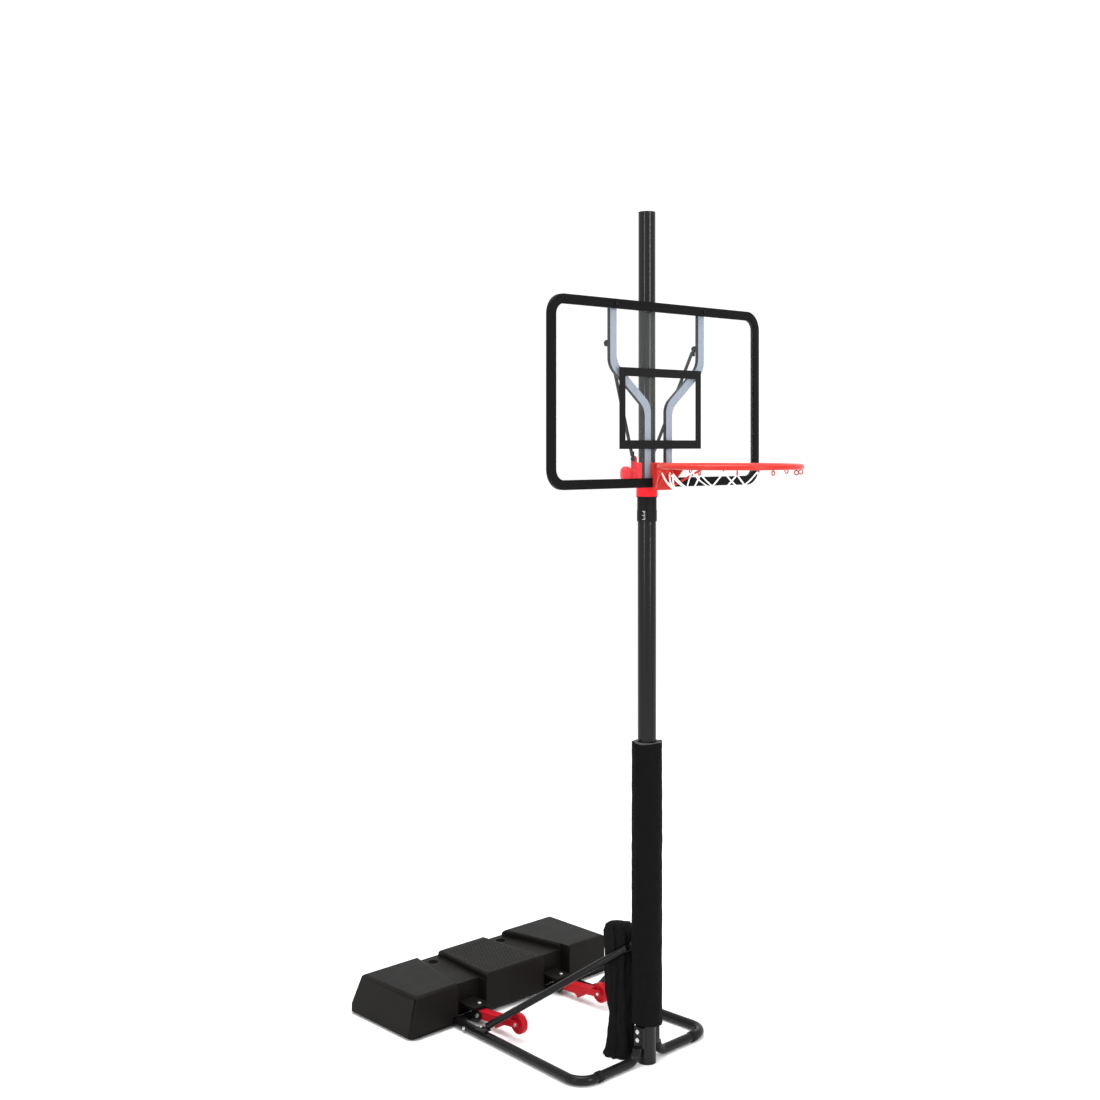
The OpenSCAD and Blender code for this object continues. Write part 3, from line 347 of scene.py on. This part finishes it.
def rolled(shape, columns, rows, place):
    """Adds a grid of columns and rows, with each corner put where place(u, v) says."""
    made = bmesh.ops.create_grid(shape, x_segments=columns, y_segments=rows, size=0.5)
    for vert in made["verts"]:
        vert.co = place(vert.co.x + 0.5, vert.co.y + 0.5)
    return made["verts"]


def around_axis(radius, degrees, level):
    turn = math.radians(degrees)
    return Vector((radius * math.cos(turn), radius * math.sin(turn), level))


scale_radius, scale_turn = 0.03525, 213.0
scale_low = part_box("pole_sleeve")[0][2] + 0.0065
tick_pitch, tick_height = 0.0048, 0.0012
long_tick, short_tick = 18.0, 10.0
shape = bmesh.new()
for step in range(7):
    low = scale_low + tick_pitch * step
    reach = short_tick if step % 3 else long_tick
    rolled(
        shape,
        4,
        1,
        lambda u, v: around_axis(scale_radius, scale_turn - reach * u, low + tick_height * v),
    )
bmesh.ops.reverse_faces(shape, faces=shape.faces)
piece("height_scale", shape, white_print, "base")

# ---------------------------------------------------------------------------
# Pad: a foam tube in a coated black fabric sleeve, closed down the back with
# an overlapping flap. The sleeve's hems pucker and its surface is not quite
# even. It is open at the back where the struts reach the pole.
# ---------------------------------------------------------------------------

pad_fabric = Finish("pad_fabric", (0.0032, 0.0032, 0.0034), 0.75, shine=0.04)
around = pad_fabric.axis(0) + pad_fabric.axis(1)
weave = (around * 2600.0).wave() * (pad_fabric.axis(2) * 2600.0).wave()
pad_fabric.relief(weave * 0.3 + pad_fabric.cloud(60.0), 0.0006, 0.5)
pad_fabric.gloss(0.62, 0.8, 30.0)
pad_fabric.tint(pad_fabric.cloud(45.0), (0.0048, 0.0048, 0.005))

foam = Finish("foam", (0.05, 0.05, 0.055), 0.9)
foam.relief(foam.cloud(900.0), 0.0004, 0.8)
core = refined("pad_foam", foam, "base", bevel=0.003)

pad_low, pad_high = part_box("pad_cover")
pad_length = pad_high[2] - pad_low[2]
sleeve_radius, sleeve_inset = 0.0523, 0.002
ripple = 0.0016
hem_reach, hem_wave = 0.05, 0.012
hem_seam, seam_width, seam_depth = 0.024, 0.003, 0.0013
flap_middle, flap_half, flap_thickness = 0.28, 0.05, 0.0014
cloth_weld, cloth_thickness = 0.00001, 0.0015


def sleeve_spot(u, v):
    """A point of the sleeve: u goes round it and v goes up."""
    turn = 2.0 * math.pi * u
    way = Vector((math.cos(turn), math.sin(turn), 0.0))
    end = min(v, 1.0 - v) * pad_length
    pucker = math.exp(-end / hem_reach)
    radius = sleeve_radius + ripple * noise.noise(way * 2.2 + Vector((0.0, 0.0, v * 26.0)))
    radius += ripple * pucker * noise.noise(way * 6.0 + Vector((0.0, 0.0, v * 50.0)))
    radius -= seam_depth * math.exp(-(((end - hem_seam) / seam_width) ** 2))
    if abs(u - flap_middle) < flap_half:
        radius += flap_thickness
    level = pad_low[2] + sleeve_inset + v * (pad_length - 2 * sleeve_inset)
    wander = noise.noise(way * 1.4 + Vector((0.0, 0.0, 7.0 if v > 0.5 else 3.0))) - 0.25
    level += hem_wave * pucker * wander * (1.0 if v > 0.5 else -0.5)
    return way * radius + Vector((0.0, 0.0, level))


shape = bmesh.new()
rolled(shape, 96, 150, sleeve_spot)
bmesh.ops.remove_doubles(shape, verts=shape.verts, dist=cloth_weld)
window_half, window_low, window_high = 0.035, 0.372, 0.428
window_front = 0.02
window = []
for face in shape.faces:
    middle = face.calc_center_median()
    at_back = abs(middle.x) < window_half and middle.y > window_front
    if at_back and window_low < middle.z < window_high:
        window.append(face)
bmesh.ops.delete(shape, geom=window, context="FACES")
bmesh.ops.recalc_face_normals(shape, faces=shape.faces)
bmesh.ops.solidify(shape, geom=shape.faces[:], thickness=cloth_thickness)
sleeve = piece("pad_sleeve", shape, pad_fabric, "base", smooth_below=70.0)
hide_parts("pad_cover")

# ---------------------------------------------------------------------------
# Hanging bag: limp black fabric that sits in the fork of the two struts and
# falls to the floor in long folds. It is pinched in at its tie, and its wider
# side lies towards the pole.
# ---------------------------------------------------------------------------

bag_fabric = Finish("bag_fabric", (0.004, 0.004, 0.0042), 0.8, shine=0.05)
bag_fabric.relief(bag_fabric.cloud(90.0, 4.0), 0.0012, 0.6)
bag_fabric.gloss(0.7, 0.88, 25.0)
bag_fabric.tint(bag_fabric.cloud(35.0), (0.007, 0.007, 0.0073))


def between(stops, at):
    """The value at a place along a list of (place, value) stops, eased from one to the next."""
    for (a, low), (b, high) in zip(stops, stops[1:]):
        if at <= b:
            share = min(max((at - a) / (b - a), 0.0), 1.0)
            return low + (high - low) * share * share * (3.0 - 2.0 * share)
    return stops[-1][1]


press_reach, press_slope = 2.6, 1.2


def laid_against(point, centre, a, b, gap):
    """The point, moved towards the bag's middle where a round bar from a to b presses in."""
    bar = (b - a).normalized()
    foot = a + bar * (point - a).dot(bar)
    inwards = centre - foot
    inwards = (inwards - bar * inwards.dot(bar)).normalized()
    deep = (point - foot).dot(inwards)
    aside = ((point - foot) - inwards * deep).length
    if aside < gap:
        least = math.sqrt(gap * gap - aside * aside)
    else:
        least = press_slope * (gap - aside)
    if aside < press_reach * gap and deep < least:
        point = point + inwards * (least - deep)
    return point


bag_radius = [
    (0.0, 0.044), (0.006, 0.048), (0.026, 0.041), (0.071, 0.034), (0.114, 0.0285), (0.145, 0.0245),
    (0.181, 0.028), (0.225, 0.034), (0.30, 0.0395), (0.358, 0.039), (0.42, 0.0435), (0.445, 0.036),
    (0.457, 0.02), (0.46, 0.006),
]
bag_reach = [(0.0, 0.062), (0.06, 0.064), (0.43, 0.072), (0.452, 0.05), (0.46, 0.006)]
to_pole = Vector((0.727, -0.686, 0.0))
bag_tall = 0.46
bag_foot = Vector((-0.033, 0.111, 0.0))
bag_crown = Vector((-0.010, 0.145, bag_tall))
strut_high = Vector((-0.029, 0.07, 0.388))
strut_low = Vector((-0.293, 0.52, 0.05))
other_side = Vector((-1.0, 1.0, 1.0))
strut_gap = 0.0138
bag_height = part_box("hanging_bag")[1][2]
bag_lift, bag_trim = 0.0015, 0.002
fold_depth, pleat_depth, pleats = 0.2, 0.06, 9.0
sag, sag_low, sag_high = 0.008, 0.03, 0.43


def bag_spot(u, v):
    """A point of the bag: u goes round it and v goes up."""
    turn = 2.0 * math.pi * u
    way = Vector((math.cos(turn), math.sin(turn), 0.0))
    level = bag_lift + (bag_height - bag_trim) * v
    spot = way * 1.7 + Vector((0.0, 0.0, level * 5.0))
    fold = noise.noise(spot * 1.5) + 0.45 * noise.noise(spot * 3.6 + Vector((5.0, 2.0, 9.0)))
    stop = level * bag_tall / bag_height
    radius = between(bag_radius, stop)
    radius += (between(bag_reach, stop) - radius) * max(way.dot(to_pole), 0.0)
    radius *= 1.0 + fold_depth * fold
    radius *= 1.0 + pleat_depth * math.sin(pleats * turn + 3.0 * noise.noise(spot))
    centre = bag_foot.lerp(bag_crown, level / bag_tall)
    centre.z = level
    point = centre + way * radius
    if sag_low < level < sag_high:
        point.z += sag * noise.noise(spot * 2.0 + Vector((1.0, 1.0, 1.0)))
    point = laid_against(point, centre, strut_high * other_side, strut_low * other_side, strut_gap)
    return laid_against(point, centre, strut_high, strut_low, strut_gap)


shape = bmesh.new()
rolled(shape, 96, 120, bag_spot)
bmesh.ops.remove_doubles(shape, verts=shape.verts, dist=cloth_weld)
bmesh.ops.holes_fill(shape, edges=[e for e in shape.edges if e.is_boundary], sides=0)
bmesh.ops.recalc_face_normals(shape, faces=shape.faces)
bag = piece("hanging_bag_cloth", shape, bag_fabric, "base", smooth_below=75.0)
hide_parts("hanging_bag")

# ---------------------------------------------------------------------------
# Wheel arms and wheels: moulded red plastic with a satin face, a little marked
# by use. Each arm hangs on a bolt and carries one wheel on an axle bolt.
# ---------------------------------------------------------------------------

# Painted shade: this red is darker than the housing's red for the shade the tank casts on the arms and
# wheels.
red_plastic = Finish("red_plastic", (0.43, 0.005, 0.013), 0.36, shine=0.12)
red_plastic.relief(red_plastic.cloud(600.0), 0.0001, 0.4)
red_plastic.gloss(0.3, 0.44, 30.0)
red_plastic.tint(red_plastic.cloud(18.0), (0.37, 0.004, 0.01))
for side in ("left", "right"):
    refined(f"arm_{side}", red_plastic, f"arm_{side}", bevel=0.0016)
    refined(f"wheel_{side}", red_plastic, f"wheel_{side}", bevel=0.0008)

# ---------------------------------------------------------------------------
# Carriage: red moulded housing and lock knob, flat steel support tubes in black
# whose front face carries a painted blue-grey reflection, and black brace rods that hold them from
# behind.
# ---------------------------------------------------------------------------

# Painted light: the housing's red is lighter than the arms' red, to make up for the shade it stands in
# below the board.
housing_red_painted_light = Finish("housing_red_painted_light", (0.76, 0.016, 0.026), 0.36, shine=0.12)
housing_red_painted_light.relief(housing_red_painted_light.cloud(600.0), 0.0001, 0.4)
housing_red_painted_light.gloss(0.3, 0.44, 30.0)
housing_red_painted_light.tint(housing_red_painted_light.cloud(18.0), (0.68, 0.012, 0.02))
refined("housing", housing_red_painted_light, "carriage", bevel=0.0022)
refined("lock_knob", housing_red_painted_light, "lock", bevel=0.0012)

support_low_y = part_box("support_left")[0][1]
support_paint = Finish("support_paint", (0.006, 0.006, 0.0065), 0.4, shine=0.16)
front_depth = 0.0009
# Painted reflection: the supports' front face is painted pale blue-grey for the light it reflects,
# over the black paint.
front = support_paint.axis(1) < support_low_y + front_depth
support_paint.tint(front, (0.235, 0.275, 0.335))
support_paint.gloss(0.36, 0.46, 20.0)

bend_reach = 0.026
least_bend, most_bend = 0.4, 1.1
along_depth = 0.99


def round_bends(shape):
    """Rounds the tube's two bends, whose edges run straight through its depth."""
    bends = []
    for edge in shape.edges:
        run = (edge.verts[0].co - edge.verts[1].co).normalized()
        if abs(run.y) > along_depth and edge.is_manifold:
            if least_bend < edge.calc_face_angle() < most_bend:
                bends.append(edge)
    round_off(shape, bends, bend_reach, 8)


for side in ("left", "right"):
    refined(f"support_{side}", support_paint, "carriage", 0.0016, 3, before=round_bends)
refined("support_bolts", black_paint, "carriage", bevel=0.0006)
refined("brace_pins", black_paint, "carriage", bevel=0.0006)
refined("brace_left", black_paint, "carriage", bevel=0.0008)
refined("brace_right", black_paint, "carriage", bevel=0.0008)

# ---------------------------------------------------------------------------
# Backboard: a clear plastic sheet with a printed black target, held in a black
# edge frame that is bolted to the supports at the top.
# ---------------------------------------------------------------------------

clear = Finish("clear_sheet", (0.55, 0.57, 0.58), 0.05)
clear.set("Alpha", 0.028)
refined("board_sheet", clear, "carriage")
edge_paint = Finish("edge_paint", (0.0042, 0.0042, 0.0045), 0.44, shine=0.06)
edge_paint.relief(edge_paint.cloud(300.0, 2.0), 0.0001, 0.4)
edge_paint.gloss(0.38, 0.5, 12.0)
refined("board_edge", edge_paint, "carriage", bevel=0.0016, segments=3)
print_black = Finish("print_black", (0.006, 0.006, 0.0065), 0.5, shine=0.1)
print_black.gloss(0.46, 0.56, 40.0)
refined("target_square", print_black, "carriage")
refined("board_top_bolts", black_plastic, "carriage", bevel=0.0008)

# ---------------------------------------------------------------------------
# Rim: a ring of steel rod welded to its bracket, its braces and twelve hooks,
# with orange-red powder coat over the whole.
# ---------------------------------------------------------------------------

rim_paint = Finish("rim_paint", (0.5, 0.024, 0.016), 0.3, shine=0.22)
rim_paint.relief(rim_paint.cloud(240.0, 2.0), 0.0001, 0.35)
rim_paint.gloss(0.26, 0.38, 20.0)
rim_paint.tint(rim_paint.cloud(15.0), (0.44, 0.018, 0.012))
for node, bevel in (
    ("rim_ring", 0.0),
    ("rim_braces", 0.0),
    ("net_hooks", 0.0),
    ("rim_bracket", 0.001),
):
    refined(node, rim_paint, "carriage", bevel=bevel)

# ---------------------------------------------------------------------------
# Net: white braided cord that hangs from the hooks, is knotted into diamonds
# and narrows downwards. Its lowest knots hang free.
# ---------------------------------------------------------------------------

net_cord = Finish("net_cord", (0.82, 0.82, 0.8), 0.75)
twist = (net_cord.axis(2) * 1500.0 + net_cord.axis(0) * 900.0).wave()
net_cord.relief(twist, 0.0005, 0.5)
net_cord.tint(net_cord.cloud(80.0), (0.72, 0.72, 0.7))

net_low, net_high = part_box("net")
hook_low, hook_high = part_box("net_hooks")
rim_centre = Vector(((net_low[0] + net_high[0]) / 2, (net_low[1] + net_high[1]) / 2, 0.0))
hook_reach, hook_lift = 0.009, 0.0045
top_radius = (hook_high[0] - hook_low[0]) / 2 - hook_reach
hook_floor = hook_low[2] + hook_lift
low_radius = 0.0855
levels = [0.0, 0.18, 0.34, 0.5, 0.66, 0.82, 0.965]
knot_rows = len(levels) - 1
fall = [(0.0, 0.0), (0.25, 0.32), (0.5, 0.62), (0.75, 0.88), (1.0, 1.0)]
loops = 12
cord_radius, knot_radius = 0.0025, 0.0042
cord_steps, cord_slack = 6, 0.004
net_lift, uneven_turn, uneven_level = 0.002, 0.02, 0.004


def net_spot(row, column):
    """A knot of the net: row counts down from the hooks and column goes round."""
    share = levels[row]
    turn = 2.0 * math.pi * (column + (0.5 if row % 2 == 0 else 0.0)) / loops
    radius = top_radius + (low_radius - top_radius) * between(fall, share)
    level = hook_floor + (net_low[2] + net_lift - hook_floor) * share
    jitter = noise.noise(Vector((row * 1.3, column * 0.9, 4.0)))
    turn += uneven_turn * jitter if row else 0.0
    level += uneven_level * jitter if 0 < row < knot_rows else 0.0
    return rim_centre + Vector((math.cos(turn) * radius, math.sin(turn) * radius, level))


cords = bpy.data.curves.new("net_cords", "CURVE")
cords.dimensions = "3D"
cords.bevel_depth = cord_radius
cords.bevel_resolution = 1
cords.use_fill_caps = True
knots = []
for row in range(knot_rows):
    for column in range(loops):
        start = net_spot(row, column)
        for aside in (0, 1) if row % 2 == 0 else (0, -1):
            end = net_spot(row + 1, (column + aside) % loops)
            cord = cords.splines.new("POLY")
            cord.points.add(cord_steps)
            for part, point in enumerate(cord.points):
                slack = cord_slack * math.sin(math.pi * part / cord_steps)
                spot = start.lerp(end, part / cord_steps)
                outwards = (spot - rim_centre) * Vector((1.0, 1.0, 0.0))
                point.co = (*(spot + outwards.normalized() * slack - Vector((0.0, 0.0, slack))), 1.0)
        if row:
            knots.append(start)
knots += [net_spot(knot_rows, column) for column in range(loops)]
cords_object = bpy.data.objects.new("net_cords", cords)
bpy.context.scene.collection.objects.link(cords_object)
shape = bmesh.new()
shape.from_mesh(bpy.data.meshes.new_from_object(cords_object))
bpy.data.objects.remove(cords_object)
for knot in knots:
    place = Matrix.Translation(knot)
    bmesh.ops.create_icosphere(shape, subdivisions=1, radius=knot_radius, matrix=place)
net = piece("net_body", shape, net_cord, "carriage", smooth_below=60.0)
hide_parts("net")

# ---------------------------------------------------------------------------
# Studio: plain pale floor and bright even surroundings, with two tall soft
# strips for the tubes' highlights and a wide soft light overhead.
# ---------------------------------------------------------------------------

floor_paint = Finish("floor_paint", (0.93, 0.93, 0.93), 0.9, shine=0.2)
shape = bmesh.new()
floor_half = 60.0
bmesh.ops.create_grid(shape, x_segments=1, y_segments=1, size=floor_half)
mesh = bpy.data.meshes.new("floor")
shape.to_mesh(mesh)
shape.free()
floor = bpy.data.objects.new("floor", mesh)
bpy.context.scene.collection.objects.link(floor)
floor_paint.cover(floor)
floor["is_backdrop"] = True

world = bpy.data.worlds.new("studio")
world.use_nodes = True
backdrop = world.node_tree.nodes["Background"]
backdrop.inputs["Color"].default_value = (1.0, 1.0, 1.0, 1.0)
backdrop.inputs["Strength"].default_value = 1.1
bpy.context.scene.world = world
bpy.context.scene.view_settings.view_transform = "Standard"


def soft_light(name, place, target, width, height, power):
    """An upright rectangle of soft light that faces the target."""
    data = bpy.data.lights.new(name, "AREA")
    data.shape = "RECTANGLE"
    data.size = width
    data.size_y = height
    data.energy = power
    light = bpy.data.objects.new(name, data)
    light.location = place
    light.rotation_euler = (Vector(target) - Vector(place)).to_track_quat("-Z", "Y").to_euler()
    bpy.context.scene.collection.objects.link(light)


soft_light("front_strip", (-0.35, -5.2, 2.9), (0.0, 0.0, 2.2), 0.2, 3.2, 125.0)
soft_light("left_strip", (-5.0, -0.9, 2.9), (0.0, 0.0, 2.2), 0.2, 3.2, 70.0)
soft_light("overhead", (-0.6, 0.2, 6.2), (0.0, 0.4, 0.0), 3.2, 3.2, 240.0)

# ---------------------------------------------------------------------------
# Camera: level, just above the rim's height and five metres from the pole. Its
# lens is shifted down, so that upright edges stay upright.
# ---------------------------------------------------------------------------

camera_data = bpy.data.cameras.new("camera")
camera_data.sensor_width = 36.0
camera_data.lens = 46.61
camera_data.shift_y = -0.0967
camera = bpy.data.objects.new("camera", camera_data)
camera.location = (-3.6834, -3.4071, 2.1713)
camera.rotation_euler = (math.radians(90.0), 0.0, math.radians(-43.339))
bpy.context.scene.collection.objects.link(camera)
bpy.context.scene.camera = camera

low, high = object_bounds()
